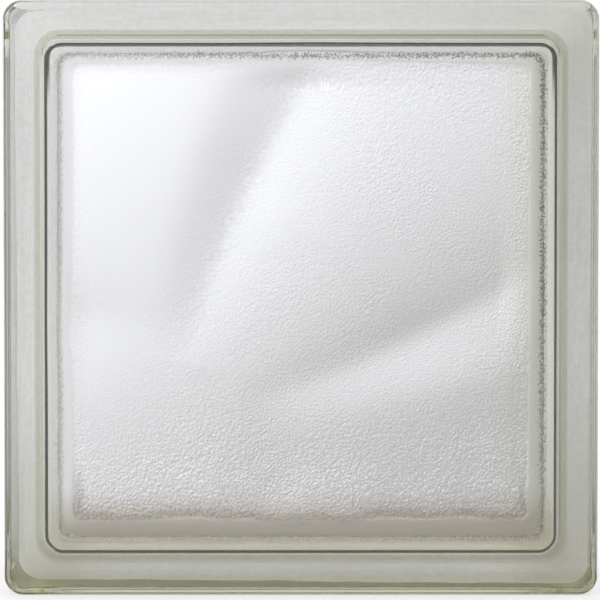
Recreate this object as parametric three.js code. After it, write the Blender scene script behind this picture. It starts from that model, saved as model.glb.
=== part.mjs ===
// A hollow glass block: two identical pressed glass halves, fused rim to rim around a sealed
// air space. Millimetres: X runs across the face, Y through the block and Z up. The block stands
// on its lower edge, with the origin under its middle.

import * as THREE from "three";
import { mergeVertices } from "three/addons/utils/BufferGeometryUtils.js";

// The block
const faceSide = 190; // the square face, edge to edge
const blockDepth = 80; // from face to face
const faceCorner = 6; // corner radius of the face's outline

// The lip round each face, and its shoulder down into the mortar channel between the two lips
const lipRound = 1.2; // radius of the lip's front edge
const lipLand = 8; // flat edge of the lip, along the depth
const shoulderRound = 5; // radius from the lip's flat edge over onto the slope
const shoulderSlope = 50; // degrees between the slope and the lip's flat edge
const grooveRound = 10; // radius from the slope into the groove at its foot
const grooveDepth = 8.4; // deepest line of the groove, below the lip's flat edge
const grooveRise = 6; // run from there up to the flat middle of the channel
const channelDepth = 7; // flat middle of the channel, below the lip's flat edge
const channelCorner = 8; // corner radius of the flat middle

// The fused seam at mid depth
const outerBead = 1.2; // height of the bead in the channel
const innerBead = 0.7; // height of the bead in the air space
const beadRun = 2.5; // from the seam to the foot of either bead

// One half: its panel, its wall and the space inside
const panelThickness = 8; // glass of the viewing panel
const wallThickness = 4.6; // glass of the wall at the seam, under the flat of the channel
const wallDraft = 0.5; // degrees that the inside of the wall leans, thicker towards the panel
const cavityCorner = 6.5; // corner radius inside the wall
const panelFillet = 4.5; // radius between the wall and the panel
const panelCorner = 2.5; // corner radius of the panel's rim

// The waves pressed into the inside of the panel. Each is a ridge with a flank on one side and a
// long run-out on the other, and both die away towards the end of the ridge, where they meet.
const longWave = {
  ridge: [[0.09, 1.04], [-0.39, 0.2], [-0.48, -0.28]], // in halves of the square grid below
  height: 2.8, // at the start of the ridge
  flank: [36, 6], // width of the flank at the start and at the end
  runOut: [22, 8], // length of the run-out at the start and at the end
};
const shortWave = {
  ridge: [[-1.04, -0.06], [-0.8, -0.05], [-0.4, -0.16]],
  height: 1.8,
  flank: [30, 22],
  runOut: [12, 8],
};
const crestRound = 1.6; // how far the crest of a ridge is rounded off
const footRound = 3; // how far the foot of a flank is rounded off
const rimShare = 0.4; // share of the waves' height that is left at the panel's rim
const sinkReach = 12; // distance from the rim over which the waves sink to that share

// How finely the curved surfaces are cut
const cornerSteps = 6; // facets round a corner
const arcSteps = 4; // facets across a round, a rise, a bead or a fillet
const rimSteps = 20; // facets along each side of the panel's fillet
const ridgeSteps = 24; // straight stretches along a ridge
const gridCells = 36; // cells along each side of the panel's square grid
const gridMargin = 1.5; // band between the grid's corners and the round corners of the rim
const cornerShare = 0.001; // share of a side that a corner counts for, when outlines are joined

const { lerp, degToRad, smoothstep } = THREE.MathUtils;
const quarterTurn = Math.PI / 2;
const ease = (t) => (1 - Math.cos(Math.PI * t)) / 2;
const spread = (steps) => Array.from({ length: steps + 1 }, (_, step) => step / steps);

// Heights through the front half, with the seam at zero
const faceY = -blockDepth / 2;
const panelY = faceY + panelThickness;
const shoulderY = faceY + lipRound + lipLand;

// The outside of the half as rows of inset, corner radius and height, from the edge of the flat
// face back to the seam
function outsideRow(inset, y) {
  return { inset, corner: lerp(faceCorner, channelCorner, inset / channelDepth), y };
}
function lipRow(t) {
  const inset = lipRound * (1 - Math.sin(t * quarterTurn));
  return { inset, corner: faceCorner - inset, y: faceY + lipRound * (1 - Math.cos(t * quarterTurn)) };
}
const slope = degToRad(shoulderSlope);
const slopeDrop = grooveDepth - (shoulderRound + grooveRound) * (1 - Math.cos(slope));
const slopeRun = slopeDrop / Math.tan(slope);
const grooveY = shoulderY + (shoulderRound + grooveRound) * Math.sin(slope) + slopeRun;
function crownRow(t) {
  const drop = shoulderRound * (1 - Math.cos(slope * t));
  return outsideRow(drop, shoulderY + shoulderRound * Math.sin(slope * t));
}
function hollowRow(t) {
  const left = grooveRound * (1 - Math.cos(slope * (1 - t)));
  return outsideRow(grooveDepth - left, grooveY - grooveRound * Math.sin(slope * (1 - t)));
}
function riseRow(t) {
  return outsideRow(lerp(grooveDepth, channelDepth, ease(t)), grooveY + grooveRise * t);
}
function outerBeadRow(t) {
  const rise = outerBead * ease(t);
  return { inset: channelDepth - rise, corner: channelCorner + rise, y: beadRun * (t - 1) };
}

// The inside of the half, from the seam forward to the rim of the panel
const wallInset = (y) => channelDepth + wallThickness - y * Math.tan(degToRad(wallDraft));
const filletInset = wallInset(panelY + panelFillet);
function innerBeadRow(t) {
  const y = -beadRun * t;
  return { inset: wallInset(y) + innerBead * ease(1 - t), corner: cavityCorner, y };
}
function filletRow(t) {
  const share = 1 - Math.cos(t * quarterTurn);
  const corner = lerp(cavityCorner, panelCorner, share);
  const y = panelY + panelFillet * (1 - Math.sin(t * quarterTurn));
  return { inset: filletInset + panelFillet * share, corner, y, share };
}

// The panel's square grid lies inside the round corners of its rim
const rimHalf = faceSide / 2 - filletInset - panelFillet;
const gridHalf = rimHalf - gridMargin - panelCorner * (1 - Math.SQRT1_2);

function ridgeLine(wave) {
  const [start, bend, end] = wave.ridge.map(([x, z]) => new THREE.Vector2(x, z));
  const curve = new THREE.QuadraticBezierCurve(start, bend, end);
  return curve.getPoints(ridgeSteps).map((point) => point.multiplyScalar(gridHalf));
}

// The nearest spot on a ridge: how far off, on which side, and how far along
function nearestOnRidge(line, point) {
  let nearest = { distance: Infinity };
  for (let step = 0; step < ridgeSteps; step += 1) {
    const along = line[step + 1].clone().sub(line[step]);
    const across = point.clone().sub(line[step]);
    const share = THREE.MathUtils.clamp(across.dot(along) / along.lengthSq(), 0, 1);
    const distance = across.clone().addScaledVector(along, -share).length();
    if (distance < nearest.distance) {
      nearest = { distance, onFlank: along.cross(across) < 0, t: (step + share) / ridgeSteps };
    }
  }
  return nearest;
}

// Zero below zero and straight above it, with the bend between them rounded off
function rounded(value, round) {
  return Math.log1p(Math.exp(-Math.abs(value) / round)) * round + Math.max(value, 0);
}

function waveHeight(wave, line, point) {
  const { distance, onFlank, t } = nearestOnRidge(line, point);
  const flank = lerp(...wave.flank, t);
  const signed = onFlank ? distance : -distance;
  const down = rounded(signed, crestRound);
  const slide = Math.min(1, (down - rounded(down - flank, footRound)) / flank);
  const tail = Math.exp(-rounded(-signed, crestRound) / lerp(...wave.runOut, t));
  return wave.height * (1 - t) * (1 - Math.max(0, slide)) * tail;
}

// Both waves together, which sink towards the rim of the panel
const waves = [longWave, shortWave].map((wave) => ({ wave, line: ridgeLine(wave) }));
function panelHeight(x, z) {
  const point = new THREE.Vector2(x, z);
  const height = waves.reduce((sum, { wave, line }) => sum + waveHeight(wave, line, point), 0);
  const inward = rimHalf - Math.max(Math.abs(x), Math.abs(z));
  return height * lerp(rimShare, 1, smoothstep(inward, 0, sinkReach));
}

// An outline of the half: a square with round corners, anticlockwise from the front. Each point's
// mark is its place round the outline, a whole number at each corner. share is the share of the
// waves that lifts it.
function outline({ inset, corner, y, share = 0 }, sideSteps = 1) {
  const centre = faceSide / 2 - inset - corner;
  const points = [];
  const add = (side, x, z, mark) => {
    const flat = new THREE.Vector2(x, z).rotateAround(new THREE.Vector2(), side * quarterTurn);
    const lift = share > 0 ? share * panelHeight(flat.x, flat.y) : 0;
    points.push({ spot: new THREE.Vector3(flat.x, y + lift, flat.y), mark: side + mark });
  };
  for (let side = 0; side < 4; side += 1) {
    for (const t of spread(cornerSteps)) {
      const bearing = t * quarterTurn;
      const [x, z] = [Math.cos(bearing), Math.sin(bearing)].map((reach) => centre + corner * reach);
      add(side, x, z, (t - 1) * cornerShare);
    }
    for (let step = 1; step < sideSteps; step += 1) {
      add(side, centre * (1 - (2 * step) / sideSteps), centre + corner, step / sideSteps);
    }
  }
  return points;
}

// The panel's grid, and its border in the order of an outline, starting from its first corner
function panelGrid() {
  const places = spread(gridCells).map((t) => gridHalf * (2 * t - 1));
  return places.map((x) => places.map((z) => new THREE.Vector3(x, panelY + panelHeight(x, z), z)));
}
function gridBorder(grid) {
  const last = gridCells;
  const steps = Array.from({ length: last }, (_, step) => step);
  const spots = [
    ...steps.map((step) => grid[last - step][last]),
    ...steps.map((step) => grid[0][last - step]),
    ...steps.map((step) => grid[step][0]),
    ...steps.map((step) => grid[last][step]),
  ];
  return spots.map((spot, at) => ({ spot, mark: at / last }));
}

// Joins two outlines, always stepping on to whichever next point comes first
function band(skin, front, back) {
  const markAt = (ring, at) => (at < ring.length ? ring[at].mark : ring[0].mark + 4);
  const spotAt = (ring, at) => ring[at % ring.length].spot;
  let [i, j] = [0, 0];
  while (i < front.length || j < back.length) {
    const frontNext = i < front.length ? markAt(front, i + 1) : Infinity;
    const backNext = j < back.length ? markAt(back, j + 1) : Infinity;
    if (backNext <= frontNext) {
      skin.push(spotAt(front, i), spotAt(back, j), spotAt(back, j + 1));
      j += 1;
    } else {
      skin.push(spotAt(front, i), spotAt(back, j), spotAt(front, i + 1));
      i += 1;
    }
  }
}

// One half as a closed skin, three points to a triangle
function halfSkin() {
  const skin = [];
  const grid = panelGrid();
  const across = (row) => spread(arcSteps).map(row);
  const lip = [...across(lipRow), ...across(crownRow)];
  const channel = [...across(hollowRow), ...across(riseRow).slice(1)];
  const seam = [...across(outerBeadRow), ...across(innerBeadRow)];
  const outlines = [
    ...[...lip, ...channel, ...seam].map((row) => outline(row)),
    ...across(filletRow).map((row) => outline(row, rimSteps)),
    gridBorder(grid),
  ];
  for (let level = 1; level < outlines.length; level += 1) {
    band(skin, outlines[level - 1], outlines[level]);
  }

  const face = outlines[0];
  for (let i = 2; i < face.length; i += 1) skin.push(face[0].spot, face[i - 1].spot, face[i].spot);

  for (let column = 0; column < gridCells; column += 1) {
    for (let row = 0; row < gridCells; row += 1) {
      const [a, b] = [grid[column][row], grid[column][row + 1]];
      const [c, d] = [grid[column + 1][row + 1], grid[column + 1][row]];
      skin.push(a, b, c, a, c, d);
    }
  }
  return skin;
}

// The back half is the front one given half a turn about the rising diagonal of the face, so X
// and Z change places and the seams meet
const frontShape = mergeVertices(new THREE.BufferGeometry().setFromPoints(halfSkin()));
const diagonalTurn = new THREE.Matrix4().set(0, 0, 1, 0, 0, -1, 0, 0, 1, 0, 0, 0, 0, 0, 0, 1);
const backShape = frontShape.clone().applyMatrix4(diagonalTurn);

function half(name, shape) {
  const glass = new THREE.MeshStandardMaterial({ color: 0xdfe6e2, roughness: 0.2, metalness: 0 });
  shape.computeVertexNormals();
  const mesh = new THREE.Mesh(shape, glass);
  mesh.name = name;
  return mesh;
}

const block = new THREE.Group();
block.add(half("front_half", frontShape), half("back_half", backShape));
block.position.z = faceSide / 2;

export default block;
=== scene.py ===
import math

import bpy
import numpy as np
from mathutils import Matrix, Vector


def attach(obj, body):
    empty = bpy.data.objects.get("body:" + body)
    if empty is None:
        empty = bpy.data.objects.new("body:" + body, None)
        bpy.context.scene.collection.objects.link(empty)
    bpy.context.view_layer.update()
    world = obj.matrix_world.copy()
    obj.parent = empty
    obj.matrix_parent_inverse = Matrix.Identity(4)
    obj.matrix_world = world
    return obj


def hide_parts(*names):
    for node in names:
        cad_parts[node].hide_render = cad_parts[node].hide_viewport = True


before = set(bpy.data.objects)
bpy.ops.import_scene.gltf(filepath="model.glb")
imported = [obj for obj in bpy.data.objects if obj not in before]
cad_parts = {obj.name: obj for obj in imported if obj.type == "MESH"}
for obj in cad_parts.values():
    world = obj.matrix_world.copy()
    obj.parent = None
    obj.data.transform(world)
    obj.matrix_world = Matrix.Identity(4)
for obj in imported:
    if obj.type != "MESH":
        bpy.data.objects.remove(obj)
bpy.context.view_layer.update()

mm = 0.001
quarterTurn = math.pi / 2
white = (1, 1, 1, 1)
mixSockets = {"first": 6, "second": 7, "result": 2}  # where a Mix node keeps its colours


class Wire:
    # A socket that can be used in sums, so that shader maths reads as ordinary maths
    def __init__(self, graph, socket):
        self.graph = graph
        self.socket = socket

    def maths(self, operation, *others):
        return maths(self.graph, operation, self, *others)

    def __add__(self, other):
        return self.maths("ADD", other)

    def __sub__(self, other):
        return self.maths("SUBTRACT", other)

    def __rsub__(self, other):
        return maths(self.graph, "SUBTRACT", other, self)

    def __mul__(self, other):
        return self.maths("MULTIPLY", other)

    def __truediv__(self, other):
        return self.maths("DIVIDE", other)

    def __rtruediv__(self, other):
        return maths(self.graph, "DIVIDE", other, self)

    def __neg__(self):
        return self * -1

    def __abs__(self):
        return self.maths("ABSOLUTE")

    __radd__ = __add__
    __rmul__ = __mul__


class Node:
    # One node of a graph; node["Name"] is the wire from that output
    def __init__(self, graph, node):
        self.graph = graph
        self.node = node

    def __getitem__(self, output):
        return Wire(self.graph, self.node.outputs[output])


class Graph:
    # The node tree of a material or of the world, emptied to start with
    def __init__(self, tree):
        self.tree = tree
        tree.nodes.clear()

    def add(self, kind, settings=None, *inputs, **named):
        node = self.tree.nodes.new(kind)
        for name, value in (settings or {}).items():
            setattr(node, name, value)
        for place, value in [*enumerate(inputs), *named.items()]:
            key = place if isinstance(place, int) else place.replace("_", " ")
            self.feed(node.inputs[key], value)
        return Node(self, node)

    def feed(self, socket, value):
        if isinstance(value, Wire):
            self.tree.links.new(value.socket, socket)
        else:
            socket.default_value = value


def maths(graph, operation, *values):
    return graph.add("ShaderNodeMath", {"operation": operation}, *values)["Value"]


def blendColours(graph, factor, first, second):
    mix = graph.add("ShaderNodeMix", {"data_type": "RGBA"}, factor)
    graph.feed(mix.node.inputs[mixSockets["first"]], first)
    graph.feed(mix.node.inputs[mixSockets["second"]], second)
    return mix[mixSockets["result"]]


def blendShaders(graph, factor, first, second):
    return graph.add("ShaderNodeMixShader", None, factor, first, second)["Shader"]


def vectorMaths(graph, operation, *values):
    return graph.add("ShaderNodeVectorMath", {"operation": operation}, *values)


def towards(graph, vector, direction):
    # How far a vector reaches in a direction
    return vectorMaths(graph, "DOT_PRODUCT", vector, direction)["Value"]


def tinted(graph, factor, colour, tint):
    # The colour, multiplied by a tint where the factor is 1
    cast = blendColours(graph, factor, white, tint)
    return vectorMaths(graph, "MULTIPLY", colour, cast)["Vector"]


def rise(value, over, low=0, high=1):
    # A smooth step from low to high while the value runs over a range
    return value.graph.add("ShaderNodeMapRange", {"interpolation_type": "SMOOTHSTEP"}, Value=value,
                           From_Min=over[0], From_Max=over[1], To_Min=low, To_Max=high)["Result"]


def noise(graph, **named):
    dimensions = "1D" if "W" in named else "3D"
    return graph.add("ShaderNodeTexNoise", {"noise_dimensions": dimensions}, **named)["Fac"]


def newMaterial(name):
    material = bpy.data.materials.new(name)
    material.use_nodes = True
    return material, Graph(material.node_tree)


glass = {  # sizes in millimetres, the slope and the draft in degrees
    "side": 190, "depth": 80, "faceCorner": 6,
    "lipRound": 1.2, "lipLand": 8, "shoulderRound": 5, "shoulderSlope": 50, "grooveRound": 10,
    "grooveDepth": 8.4, "grooveRise": 6, "channelDepth": 7, "channelCorner": 8,
    "outerBead": 1.2, "innerBead": 0.7, "beadRun": 2.5,
    "panel": 8, "wall": 4.6, "draft": 0.5,
    "cavityCorner": 6.5, "fillet": 4.5, "panelCorner": 2.5,
    "cornerSteps": 12, "arcSteps": 10, "sideSteps": 48,
    "gridMargin": 1.5, "cell": 0.76, "quickCoarser": 4,
    "longStretch": 1.5, "guard": 0.25,  # every long stretch gets a row this near each of its ends
}
waves = {  # what both waves of a panel share
    "ridgeSteps": 32, "growth": 0.35, "rimShare": 0.4, "sinkReach": 12,
}
longWave = {
    "ridge": [(0.09, 1.04), (-0.39, 0.2), (-0.48, -0.28)],  # in halves of the patterned square
    "height": 3.8, "startShare": 0.5, "flank": (26, 8), "runOut": (21, 8), "crest": 2, "foot": 3,
}
shortWave = {
    "ridge": [(-1.04, -0.06), (-0.8, -0.05), (-0.4, -0.16)],
    "height": 1.2, "startShare": 1, "flank": (30, 22), "runOut": (12, 8), "crest": 2.6, "foot": 3,
}
faceY = -glass["depth"] / 2
panelY = faceY + glass["panel"]
slopeY = faceY + glass["lipRound"] + glass["lipLand"]
sides = 4
cornerShare = 0.001  # how little of the way round a ring its corners count for
sameMark = 1e-9  # marks nearer than this are one


def ease(t):
    return (1 - math.cos(math.pi * t)) / 2


def smooth(t):
    return t ** 2 * (3 - 2 * t)


def lerp(a, b, t):
    return a + (b - a) * t


def spread(steps):
    return [step / steps for step in range(steps + 1)]


class Ring:
    # A square outline with round corners, anticlockwise from the front. Its marks tell how far
    # round each point is, with a whole number at each corner. lift is its share of the waves.
    def __init__(self, row, sideSteps):
        inset, corner, y, lift = row
        centre = glass["side"] / 2 - inset - corner
        points, self.marks = [], []
        for side in range(sides):
            arc = [(t, 0) for t in spread(glass["cornerSteps"])]
            straight = [(1, step / sideSteps) for step in range(1, sideSteps)]
            turn = side * quarterTurn
            for t, along in arc + straight:
                bearing = t * quarterTurn
                x, z = centre + corner * math.cos(bearing), centre + corner * math.sin(bearing)
                x -= 2 * centre * along
                across = x * math.cos(turn) - z * math.sin(turn)
                up = x * math.sin(turn) + z * math.cos(turn)
                points.append((across, y, up))
                self.marks.append(side + along + (t - 1) * cornerShare)
        self.points = np.array(points)
        if lift:
            x, z = self.points[:, 0], self.points[:, 2]
            height = panelWaves(x, z) if y < 0 else panelWaves(z, x)
            self.points[:, 1] -= math.copysign(lift, y) * height


def shoulderRows():
    # Down from the lip's flat edge into the groove: a round, a short slope, a hollow. Then up
    # to the flat middle of the channel.
    size = glass
    slope = math.radians(size["shoulderSlope"])
    crown, hollow = size["shoulderRound"], size["grooveRound"]
    spots = []
    for t in spread(size["arcSteps"]):
        spots.append((crown * (1 - math.cos(slope * t)), crown * math.sin(slope * t)))
    drop = size["grooveDepth"] - (crown + hollow) * (1 - math.cos(slope))
    run = spots[-1][1] + drop / math.tan(slope) + hollow * math.sin(slope)
    for t in spread(size["arcSteps"])[::-1]:
        left = hollow * (1 - math.cos(slope * t))
        spots.append((size["grooveDepth"] - left, run - hollow * math.sin(slope * t)))
    for t in spread(size["arcSteps"])[1:]:
        inset = lerp(size["grooveDepth"], size["channelDepth"], ease(t))
        spots.append((inset, run + size["grooveRise"] * t))
    rows = []
    for inset, along in spots:
        corner = lerp(size["faceCorner"], size["channelCorner"], inset / size["channelDepth"])
        rows.append((inset, corner, slopeY + along, 0))
    return rows


def outsideRows():
    # Inset, corner radius, Y and lift of each ring, from the edge of the front face to the seam
    size = glass
    rows = []
    for t in spread(size["arcSteps"]):
        inset = size["lipRound"] * (1 - math.sin(t * quarterTurn))
        y = faceY + size["lipRound"] * (1 - math.cos(t * quarterTurn))
        rows.append((inset, size["faceCorner"] - inset, y, 0))
    rows += shoulderRows()
    for t in spread(size["arcSteps"]):
        swell = size["outerBead"] * ease(t)
        y = size["beadRun"] * (t - 1)
        rows.append((size["channelDepth"] - swell, size["channelCorner"] + swell, y, 0))
    return rows


def wallInset(y):
    return glass["channelDepth"] + glass["wall"] + abs(y) * math.tan(math.radians(glass["draft"]))


def filletRows():
    # The same, from the rim of the front panel up the fillet
    size = glass
    foot = wallInset(panelY + size["fillet"])
    rows = []
    for t in spread(size["arcSteps"])[::-1]:
        share = 1 - math.cos(t * quarterTurn)
        y = panelY + size["fillet"] * (1 - math.sin(t * quarterTurn))
        corner = lerp(size["cavityCorner"], size["panelCorner"], share)
        rows.append((foot + size["fillet"] * share, corner, y, share))
    return rows


def seamRows():
    # The inside bead, from its foot to the seam
    size = glass
    rows = []
    for t in spread(size["arcSteps"])[::-1]:
        y = -size["beadRun"] * t
        rows.append((wallInset(y) + size["innerBead"] * ease(1 - t), size["cavityCorner"], y, 0))
    return rows


def mirrored(rows):
    return [(inset, corner, -y, lift) for inset, corner, y, lift in rows[::-1]]


def withGuards(rows):
    # Adds a row close to each end of every long stretch, so that it shades flat
    out = [rows[0]]
    for before, after in zip(rows, rows[1:]):
        length = math.dist((before[0], before[2]), (after[0], after[2]))
        if length > glass["longStretch"]:
            share = glass["guard"] / length
            for t in (share, 1 - share):
                out.append(tuple(lerp(a, b, t) for a, b in zip(before, after)))
        out.append(after)
    return out


rimHalf = glass["side"] / 2 - wallInset(panelY + glass["fillet"]) - glass["fillet"]
cornerCut = 1 - math.cos(quarterTurn / 2)  # what a round corner takes off, as a share of its radius
patternHalf = rimHalf - glass["gridMargin"] - glass["panelCorner"] * cornerCut


def ridgeLine(wave):
    start, bend, end = [np.array(point) * patternHalf for point in wave["ridge"]]
    t = np.array(spread(waves["ridgeSteps"]))[:, None]
    return start * (1 - t) ** 2 + bend * 2 * t * (1 - t) + end * t ** 2


def softRamp(distance, bend):
    # Nothing below 0 and the distance itself above it, with a round bend between
    return np.logaddexp(0, distance / bend) * bend


def waveHeight(wave, x, z):
    # Height of one wave over a grid of points, from the nearest spot on its ridge
    line = ridgeLine(wave)
    steps = waves["ridgeSteps"]
    nearest = np.full(x.shape, np.inf)
    along = np.zeros(x.shape)
    flankSide = np.zeros(x.shape, bool)
    for step in range(steps):
        (ax, az), (bx, bz) = line[step], line[step + 1]
        dx, dz = bx - ax, bz - az
        share = np.clip(((x - ax) * dx + (z - az) * dz) / (dx * dx + dz * dz), 0, 1)
        offX, offZ = x - ax - share * dx, z - az - share * dz
        distance = np.hypot(offX, offZ)
        closer = distance < nearest
        nearest = np.where(closer, distance, nearest)
        along = np.where(closer, (step + share) / steps, along)
        flankSide = np.where(closer, dx * (z - az) - dz * (x - ax) < 0, flankSide)
    runOut, flank = lerp(*wave["runOut"], along), lerp(*wave["flank"], along)
    signed = np.where(flankSide, nearest, -nearest)
    ramp = softRamp(signed, wave["crest"])  # distance down the flank, rounded over the crest
    down = (ramp - softRamp(ramp - flank, wave["foot"])) / flank
    tail = np.exp(-softRamp(-signed, wave["crest"]) / runOut)
    grown = lerp(wave["startShare"], 1, np.clip(along / waves["growth"], 0, 1))
    return wave["height"] * grown * (1 - along) * (1 - np.clip(down, 0, 1)) * tail


def panelWaves(x, z):
    # Both waves, which sink towards the rim
    inward = np.clip((rimHalf - np.maximum(np.abs(x), np.abs(z))) / waves["sinkReach"], 0, 1)
    kept = lerp(waves["rimShare"], 1, smooth(inward))
    return (waveHeight(longWave, x, z) + waveHeight(shortWave, x, z)) * kept


class Skin:
    # Collects points and faces; each face remembers its finish
    def __init__(self):
        self.points = []
        self.faces = []
        self.finishes = []
        self.count = 0

    def addPoints(self, points):
        points = np.asarray(points, float).reshape(-1, 3)
        self.points.append(points)
        self.count += len(points)
        return np.arange(self.count - len(points), self.count)

    def addFaces(self, faces, finish, flip=False):
        faces = [list(map(int, face))[:: -1 if flip else 1] for face in faces]
        self.faces += faces
        self.finishes += [finish] * len(faces)

    def bridge(self, front, frontMarks, back, backMarks, finish, flip):
        # Zips two closed rings together, always taking the next point that comes first round them
        i, j = 0, 0
        faces = []
        frontMarks = [*frontMarks, frontMarks[0] + sides]
        backMarks = [*backMarks, backMarks[0] + sides]
        while i < len(front) or j < len(back):
            a, b = front[i % len(front)], back[j % len(back)]
            nextA, nextB = front[(i + 1) % len(front)], back[(j + 1) % len(back)]
            aMark = frontMarks[i + 1] if i < len(front) else math.inf
            bMark = backMarks[j + 1] if j < len(back) else math.inf
            if abs(aMark - bMark) < sameMark:
                faces.append((a, b, nextB, nextA))
                i, j = i + 1, j + 1
            elif aMark < bMark:
                faces.append((a, b, nextA))
                i += 1
            else:
                faces.append((a, b, nextB))
                j += 1
        self.addFaces(faces, finish, flip)


def addRings(skin, rings, finishOf, flip):
    # Skins a row of rings and returns the point numbers of the first and the last
    numbers = [skin.addPoints(ring.points) for ring in rings]
    for at in range(1, len(rings)):
        finish = finishOf(rings[at - 1], rings[at])
        skin.bridge(numbers[at - 1], rings[at - 1].marks, numbers[at], rings[at].marks, finish, flip)
    return numbers[0], numbers[-1]


def outsideFinish(before, after):
    # The channel between the lips takes the coating
    y = abs(before.points[0, 1] + after.points[0, 1]) / 2
    return "channel" if y < -slopeY else "clear"


def insideFinish(before, after):
    # The front panel's finish runs a little way up its fillet
    reach = -panelY - glass["fillet"] / 2
    y = (before.points[0, 1] + after.points[0, 1]) / 2
    if y > -panelY - glass["fillet"]:
        return "backFillet"
    return "wall" if abs(y) < reach else "front"


def addPanel(skin, rim, rimNumbers, y, finish, turned):
    # The inside of a panel: a grid of points, and the margin that joins it to the rim
    cells = 2 * round(patternHalf / glass["cell"]) // 1
    line = np.linspace(-patternHalf, patternHalf, cells + 1)
    x, z = np.meshgrid(line, line, indexing="ij")
    height = panelWaves(z, x) if turned else panelWaves(x, z)
    grid = skin.addPoints(np.stack([x, y - math.copysign(1, y) * height, z], -1)).reshape(x.shape)
    quads = np.stack([grid[:-1, :-1], grid[:-1, 1:], grid[1:, 1:], grid[1:, :-1]], -1).reshape(-1, 4)
    skin.addFaces(quads, finish, flip=turned)
    edges = [grid[::-1, -1], grid[0, ::-1], grid[:, 0], grid[-1, :]]
    border = np.concatenate([edge[:-1] for edge in edges])
    marks = [i / cells for i in range(sides * cells)]
    skin.bridge(rimNumbers, rim.marks, border, marks, finish, flip=turned)


finishes = {  # each mark that faces carry, and how much of it each finish has; satin is roughness
    "pebbled": {"front": 0.02, "back": 1},
    # the back panel and its fillet are hazy, with painted shade
    "hazedAndShaded": {"back": 1, "backFillet": 1},
    "lined": {"front": 1, "back": 1},
    "coated": {"channel": 1},
    "satin": {"clear": 0.02, "front": 0.03, "back": 0.05, "backFillet": 0.05, "wall": 0.22},
}


def makeGlass():
    skin = Skin()
    size = glass
    inset = size["lipRound"] + size["guard"]
    half = [(inset, size["faceCorner"] - inset, faceY, 0), *outsideRows()]
    rings = [Ring(row, 1) for row in withGuards(half[:-1] + mirrored(half))]
    frontFace, backFace = addRings(skin, rings, outsideFinish, flip=False)
    skin.addFaces([frontFace], "clear")
    skin.addFaces([backFace], "clear", flip=True)

    fillet, seam = filletRows(), seamRows()
    wall = withGuards([fillet[-1], *seam, *mirrored(seam)[1:], mirrored(fillet)[0]])
    front = [Ring(row, size["sideSteps"]) for row in fillet]
    back = [Ring(row, size["sideSteps"]) for row in mirrored(fillet)]
    middle = [Ring(row, 1) for row in wall[1:-1]]
    numbers = addRings(skin, [*front, *middle, *back], insideFinish, flip=True)
    addPanel(skin, front[0], numbers[0], panelY, "front", turned=False)
    addPanel(skin, back[-1], numbers[1], -panelY, "back", turned=True)

    points = np.concatenate(skin.points)
    points[:, 2] += size["side"] / 2
    mesh = bpy.data.meshes.new("glass_block")
    mesh.from_pydata((points * mm).tolist(), [], skin.faces)
    mesh.polygons.foreach_set("use_smooth", [True] * len(skin.faces))
    for name, values in finishes.items():
        mark = mesh.attributes.new(name, "FLOAT", "FACE")
        mark.data.foreach_set("value", [values.get(finish, 0) for finish in skin.finishes])
    mesh.update()
    piece = bpy.data.objects.new("glass_block", mesh)
    bpy.context.scene.collection.objects.link(piece)
    return piece


melt = {"ior": 1.52, "absorb": (0.43, 0.46, 0.05, 1), "density": 6}
coating = {  # the milky layer on the mortar channel; lengths in metres
    "fresh": (0.95, 0.95, 0.98, 1), "dull": (0.6, 0.6, 0.55, 1), "through": 0.65,
    "cover": 0.85, "roughness": 0.45, "front": (0.74, 1), "back": (0.46, 0.74),
    "streakScale": (60, 1300, 60), "mottleScale": 600, "mottle": 0.6, "contrast": (0.35, 0.65),
    "reach": 0.0266, "blur": 0.0006, "tilt": (0.0068, 0, 0.0053), "wander": 0.0008,
    "topOver": (0.092, 0.0945), "topReach": 0.0045,
    "worn": 0.4, "downOver": (0.02, 0.085), "asideOver": (0.06, 0.085),  # the lower corners
    "lean": (0.4, 0, 0.7), "leanOver": (0.066, 0.098), "leanShare": 0.68,
}
unevenness = {"coarseScale": 50, "fineScale": 1800, "detail": 2, "middle": 0.5}  # of all the edges
pattern = {  # the uneven edge of the pebbled pattern on the back panel
    "wander": 0.006, "least": 0.2, "lowOver": (0.045, 0.07), "cornerBlend": 0.006,
}
pebble = {
    "scale": 1300, "detail": 3, "height": 0.00016, "patch": 1.4,
    "lean": (0.9, 0, -0.5), "leanOver": (-0.06, 0), "least": 0.28,
    "bottomOver": (0.035, 0.07), "bottom": 2.7, "edgeOver": (0.002, 0.007), "edge": 1.7,
    "edgeStep": 0.00003, "edgeRun": 0.0012, "ragged": 0.0012,
}
# Painted shade: the colour greys the hazy back fillet and the edge of the back pattern; the roughness
# is the real frosting
hazeAndShade = {"colour": (0.9, 0.9, 0.88, 1), "roughness": 0.65, "over": (-0.0012, 0.0026), "ragged": 0.004}
frontLine = {  # painted shade: a dark hairy line round the rim of the front panel
    "colour": (0.06, 0.055, 0.035, 1), "width": 0.00095, "inset": 0.0011, "ragged": 0.005,
    "wander": 0.0012, "broad": 1, "lean": (0.6, 0, 0.5), "leanOver": (-0.03, 0.05), "least": 0.4,
}
backLine = {  # painted shade: a brownish band along the edge of the pattern, at the bottom
    "colour": (0.1, 0.075, 0.045, 1), "width": 0.0034, "inset": 0.0018, "ragged": 0.004,
    "lean": (0, 0, -1), "leanOver": (0.055, 0.075), "share": 0.6,
}
edgeShades = [  # painted shade, where the pattern darkens towards its edge, brownish at the bottom
    {"towards": (0, 0, -1), "reach": 0.014, "colour": (0.57, 0.51, 0.45, 1)},
    {"towards": (1, 0, 0), "reach": 0.016, "colour": (0.9, 0.89, 0.87, 1)},
    {"towards": (0, 0, 1), "reach": 0.005, "colour": (0.82, 0.81, 0.8, 1)},
]
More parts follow.
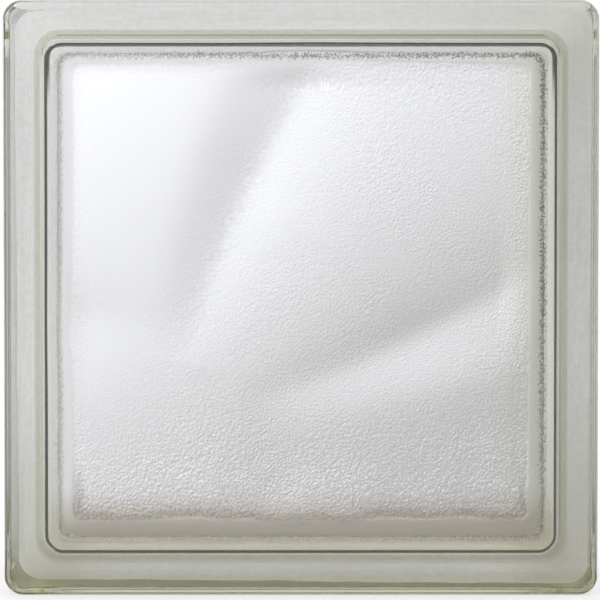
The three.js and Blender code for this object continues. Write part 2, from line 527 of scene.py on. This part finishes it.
wallReflections = {  # painted reflections: faint stripes that show through the whole depth of the wall, with painted shade at the top
    "colour": (0.4, 0.4, 0.34, 1), "topColour": (0.08, 0.08, 0.05, 1), "topOver": (0.07, 0.085),
    "depth": 0.0272, "outer": -0.0125, "inner": -0.0062, "blur": 0.0006,
    "stripeScale": 2200, "stripeOver": (0.35, 0.6), "stripeShare": (0.3, 1),
    "lowOver": (0.07, 0.085), "lowShare": 0.5,
}
frontFillet = {"near": -0.0325, "far": -0.0275, "blur": 0.0004}  # where it lies in the depth
filletShading = [  # painted shade and light along that fillet: a dark band above, a cream painted highlight below
    {"towards": (0, 0, 1), "over": (0.06, 0.075), "outer": -0.006, "inner": -0.0016,
     "colour": (0.04, 0.04, 0.02, 1)},
    {"towards": (0, 0, -1), "over": (0.06, 0.075), "outer": -0.0034, "inner": 0.0006,
     "colour": (0.84, 0.81, 0.7, 1)},
]
footAndSideShades = [  # painted shade: the glass faintly darker at its foot and its right side, darker and yellower at its underside
    {"towards": (0, 0, -1), "over": (0.07, 0.08), "colour": (0.96, 0.945, 0.885, 1)},
    {"towards": (0, 0, -1), "over": (0.086, 0.09), "colour": (0.84, 0.82, 0.62, 1)},
    {"towards": (1, 0, 0), "over": (0.06, 0.085), "colour": (0.985, 0.985, 0.94, 1)},
]


class Place:
    # Where a point of the block lies, as wires that all its finishes share; lengths in metres
    def __init__(self, graph):
        self.graph = graph
        middle = (0, 0, glass["side"] / 2 * mm)
        self.point = graph.add("ShaderNodeTexCoord")["Object"]
        self.fromMiddle = vectorMaths(graph, "SUBTRACT", self.point, middle)["Vector"]
        spot = graph.add("ShaderNodeSeparateXYZ", None, self.fromMiddle)
        self.across, self.depth, self.up = spot["X"], spot["Y"], spot["Z"]
        outward = abs(self.across).maths("SMOOTH_MAX", abs(self.up), pattern["cornerBlend"])
        self.inward = rimHalf * mm - outward  # how far inside the rim of the panels
        self.coarse = self.noise(unevenness["coarseScale"]) - unevenness["middle"]
        self.fine = self.noise(unevenness["fineScale"]) - unevenness["middle"]
        low = rise(-self.up, pattern["lowOver"], pattern["least"], 1)
        self.inPattern = self.inward + self.coarse * pattern["wander"] * low
        self.isFront = self.depth.maths("LESS_THAN", 0)
        self.isBack = self.depth.maths("GREATER_THAN", 0)

    def noise(self, scale, detail=unevenness["detail"]):
        return noise(self.graph, Vector=self.point, Scale=scale, Detail=detail)

    def along(self, direction):
        return towards(self.graph, self.fromMiddle, direction)

    def mark(self, name):
        return self.graph.add("ShaderNodeAttribute", {"attribute_name": name})["Fac"]

    def between(self, band, blur):
        # Whether the point lies between a band's outer and inner edge
        outer = rise(self.inward, (band["outer"], band["outer"] + blur))
        return outer * rise(self.inward, (band["inner"] - blur, band["inner"]), 1, 0)


def hazeAndShadeShare(at):
    # Haze and painted shade on the back fillet, which end raggedly inside the edge of the pattern
    edge = at.inPattern + at.fine * hazeAndShade["ragged"]
    return rise(edge, hazeAndShade["over"], 1, 0) * at.mark("hazedAndShaded")


def frontLineShare(at):
    line = frontLine
    off = abs(at.inward - line["inset"] + at.fine * line["ragged"] + at.coarse * line["wander"])
    broad = 1 + at.coarse * line["broad"]
    lean = rise(at.along(line["lean"]), line["leanOver"], line["least"], 1)
    return rise(off / broad, (0, line["width"]), 1, 0) * lean * at.mark("lined") * at.isFront


def backLineShare(at):
    line = backLine
    off = abs(at.inPattern - line["inset"] + at.fine * line["ragged"])
    lean = rise(at.along(line["lean"]), line["leanOver"], 0, line["share"])
    return rise(off, (0, line["width"]), 1, 0) * lean * at.mark("lined") * at.isBack


def wallReflectionShare(at):
    # Painted reflections: stripes in a ring round the back of the wall, fainter towards the bottom
    wall = wallReflections
    stripes = noise(at.graph, W=at.inward, Scale=wall["stripeScale"])
    ring = at.between(wall, wall["blur"])
    striped = rise(stripes, wall["stripeOver"], *wall["stripeShare"])
    low = rise(-at.up, wall["lowOver"], 1, wall["lowShare"])
    return ring * striped * low * at.depth.maths("GREATER_THAN", wall["depth"])


def filletShadingShare(at, filletBand):
    # Where a band of painted shade or highlight lies on the front fillet
    near, far = frontFillet["near"], frontFillet["far"]
    onFillet = at.depth.maths("GREATER_THAN", near) * at.depth.maths("LESS_THAN", far)
    lean = rise(at.along(filletBand["towards"]), filletBand["over"])
    return at.between(filletBand, frontFillet["blur"]) * lean * onFillet


def glassTint(at, hazedAndShaded):
    # Clear, but for painted shade where the back is hazy and towards the edges of its pattern, and
    # painted dark lines round the panels.
    # Also painted shade and highlight on the front fillet, painted reflections that show through the
    # wall, and painted shade at the foot and the right side.
    graph = at.graph
    tint = blendColours(graph, hazedAndShaded, white, hazeAndShade["colour"])
    # Painted shade towards the edges of the pattern
    for shade in edgeShades:
        share = rise(at.along(shade["towards"]), (rimHalf * mm - shade["reach"], rimHalf * mm))
        tint = tinted(graph, share * at.mark("hazedAndShaded"), tint, shade["colour"])
    # Painted dark lines: a brownish band at the bottom of the pattern and a dark hairy line round the
    # front panel
    tint = blendColours(graph, backLineShare(at), tint, backLine["colour"])
    tint = blendColours(graph, frontLineShare(at), tint, frontLine["colour"])
    for filletBand in filletShading:
        tint = blendColours(graph, filletShadingShare(at, filletBand), tint, filletBand["colour"])
    # Painted shade darkens the painted reflections towards the top
    reflectionColour = blendColours(graph, rise(at.up, wallReflections["topOver"]), wallReflections["colour"],
                              wallReflections["topColour"])
    tint = blendColours(graph, wallReflectionShare(at), tint, reflectionColour)
    # Painted shade at the foot, the underside and the right side
    for cast in footAndSideShades:
        tint = tinted(graph, rise(at.along(cast["towards"]), cast["over"]), tint, cast["colour"])
    return tint


def pebbleHeight(at):
    # Small pebbles inside the ragged edge, fainter in patches and towards the upper left
    grain = at.noise(pebble["scale"], pebble["detail"])
    edge = at.inPattern - at.fine * pebble["ragged"]
    field = rise(edge, (-pebble["edgeRun"] / 2, pebble["edgeRun"] / 2))
    patch = 1 + at.coarse * pebble["patch"]
    lean = rise(at.along(pebble["lean"]), pebble["leanOver"], pebble["least"], 1)
    bottom = rise(-at.up, pebble["bottomOver"], 1, pebble["bottom"])
    nearEdge = rise(edge, pebble["edgeOver"], pebble["edge"], 1)
    pebbled = at.mark("pebbled")
    onPanel = pebbled.maths("GREATER_THAN", 0)
    height = grain * pebbled * patch * lean * bottom * nearEdge * pebble["height"]
    return field * (height + onPanel * pebble["edgeStep"])


def coatingShare(at):
    # How far the coating covers the glass: all of the channel, up to an uneven line on the shoulders
    top = rise(at.up, coating["topOver"], 0, coating["topReach"])
    reach = coating["reach"] + at.along(coating["tilt"]) + top + at.coarse * coating["wander"]
    return rise(reach - abs(at.depth), (0, coating["blur"])) * at.mark("coated")


def coatingWhiteness(at):
    # Streaks run round the block along its edges, with mottling between them. The back half, the
    # lower corners and the upper right are duller
    stretched = vectorMaths(at.graph, "MULTIPLY", at.point, coating["streakScale"])["Vector"]
    streak = noise(at.graph, Vector=stretched, Scale=1, Detail=1)
    mottle = at.noise(coating["mottleScale"])
    share = rise(streak * (1 - coating["mottle"]) + mottle * coating["mottle"], coating["contrast"])
    halves = [coating["front"], coating["back"]]
    front, back = [least + share * (most - least) for least, most in halves]
    corner = rise(-at.up, coating["downOver"]) * rise(abs(at.across), coating["asideOver"])
    worn = 1 - corner * (1 - coating["worn"])
    lean = rise(at.along(coating["lean"]), coating["leanOver"], 1, coating["leanShare"])
    return (front + at.isBack * (back - front)) * worn * lean


def coat(graph, colour):
    # Bonded to the glass, and lit through it too
    bonded = graph.add("ShaderNodeBsdfDiffuse", None, Color=colour)["BSDF"]
    backlit = graph.add("ShaderNodeBsdfTranslucent", None, Color=colour)["BSDF"]
    return blendShaders(graph, coating["through"], bonded, backlit)


def pressedGlass():
    material, graph = newMaterial("pressed_glass")
    at = Place(graph)
    covered, hazedAndShaded = coatingShare(at), hazeAndShadeShare(at)
    tint = glassTint(at, hazedAndShaded)
    roughness = at.mark("satin") + covered * coating["roughness"] + hazedAndShaded * hazeAndShade["roughness"]
    bump = graph.add("ShaderNodeBump", None, Strength=1, Distance=1, Height=pebbleHeight(at))["Normal"]
    bare = graph.add("ShaderNodeBsdfPrincipled", None, Base_Color=tint, Roughness=roughness,
                     Normal=bump, IOR=melt["ior"], Transmission_Weight=1)["BSDF"]
    dull, fresh = coat(graph, coating["dull"]), coat(graph, coating["fresh"])
    milky = blendShaders(graph, coatingWhiteness(at), dull, fresh)
    surface = blendShaders(graph, covered * coating["cover"], bare, milky)
    body = graph.add("ShaderNodeVolumeAbsorption", None, Color=melt["absorb"], Density=melt["density"])
    graph.add("ShaderNodeOutputMaterial", None, Surface=surface, Volume=body["Volume"])
    return material


block = makeGlass()
print("shape:", len(block.data.vertices), "points,", len(block.data.polygons), "faces")
block.data.materials.append(pressedGlass())
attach(block, "root")
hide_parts("front_half", "back_half")
print("glass: material", block.active_material.name)


floorLook = {
    "width": 12, "colour": (0.95, 0.95, 0.95, 1), "roughness": 0.6, "drop": 0.0002, "glow": 0.6,
}


def makeFloor():
    # Lit as a plain floor, brought nearer to white for the camera, and not seen through the glass
    half = floorLook["width"] / 2
    corners = [(-half, -half, 0), (half, -half, 0), (half, half, 0), (-half, half, 0)]
    mesh = bpy.data.meshes.new("floor")
    mesh.from_pydata(corners, [], [(0, 1, 2, 3)])
    material, graph = newMaterial("pale_floor")
    path = graph.add("ShaderNodeLightPath")
    plain = graph.add("ShaderNodeBsdfPrincipled", None, Base_Color=floorLook["colour"],
                      Roughness=floorLook["roughness"])["BSDF"]
    glow = graph.add("ShaderNodeEmission", None, Color=white, Strength=1)["Emission"]
    clear = graph.add("ShaderNodeBsdfTransparent")["BSDF"]
    lit = blendShaders(graph, path["Is Camera Ray"] * floorLook["glow"], plain, glow)
    surface = blendShaders(graph, path["Is Transmission Ray"], lit, clear)
    graph.add("ShaderNodeOutputMaterial", None, Surface=surface)
    mesh.materials.append(material)
    floor = bpy.data.objects.new("floor", mesh)
    floor.location.z = -floorLook["drop"]
    bpy.context.scene.collection.objects.link(floor)


studio = {
    "fill": 1.06, "slant": (-0.28, 0, 0.3),
    "lightFrom": (-0.58, 0, 0.82), "lightOver": (-0.14, 0.14),
    "dark": (0.4, 0.395, 0.4, 1), "bright": (1.24, 1.25, 1.36, 1),
    "pale": (0.6, 0.605, 0.615, 1), "paleOver": (0.8, 0.96),
    "side": (0.085, 0.085, 0.065, 1), "sideOver": (0.35, 0.75),
    "straight": (0.9, 0.9, 0.9, 1),  # at the sides, for light that goes straight through the glass
}


def makeWorld():
    # White to the camera, and a slanted fill on matt surfaces. Through the glass it is a soft sweep
    # from dark to bright in front and behind, then paler, and dark at the sides after a bounce
    world = bpy.data.worlds.new("studio")
    bpy.context.scene.world = world
    world.use_nodes = True
    graph = Graph(world.node_tree)
    direction = graph.add("ShaderNodeTexCoord")["Generated"]
    path = graph.add("ShaderNodeLightPath")
    level = graph.add("ShaderNodeMapRange", None, Value=towards(graph, direction, studio["lightFrom"]),
                      From_Min=studio["lightOver"][0], From_Max=studio["lightOver"][1])["Result"]
    facing = abs(graph.add("ShaderNodeSeparateXYZ", None, direction)["Y"])
    sweep = blendColours(graph, level, studio["dark"], studio["bright"])
    front = blendColours(graph, rise(facing, studio["paleOver"]), studio["pale"], sweep)
    bounced = path["Glossy Depth"].maths("GREATER_THAN", 0)
    side = blendColours(graph, bounced, studio["straight"], studio["side"])
    seen = blendColours(graph, rise(facing, studio["sideOver"]), side, front)
    soft = towards(graph, direction, studio["slant"]) + studio["fill"]
    shown = blendColours(graph, path["Is Diffuse Ray"], seen, soft)
    shown = blendColours(graph, path["Is Camera Ray"], shown, white)
    backdrop = graph.add("ShaderNodeBackground", None, Color=shown, Strength=1)["Background"]
    graph.add("ShaderNodeOutputWorld", None, Surface=backdrop)


view = {
    "eye": (-0.0003, -0.94, 0.123), "aim": (-0.0003, -0.04, 0.0945), "lens": 169.3, "farthest": 100,
}


def makeCamera():
    data = bpy.data.cameras.new("camera")
    data.lens = view["lens"]
    data.clip_end = view["farthest"]
    camera = bpy.data.objects.new("camera", data)
    camera.location = view["eye"]
    aim = Vector(view["aim"]) - Vector(view["eye"])
    camera.rotation_mode = "QUATERNION"
    camera.rotation_quaternion = aim.to_track_quat("-Z", "Y")
    bpy.context.scene.collection.objects.link(camera)
    bpy.context.scene.camera = camera


makeFloor()
makeWorld()
makeCamera()
bpy.context.scene.view_settings.view_transform = "Standard"
print("floor, light and camera placed")
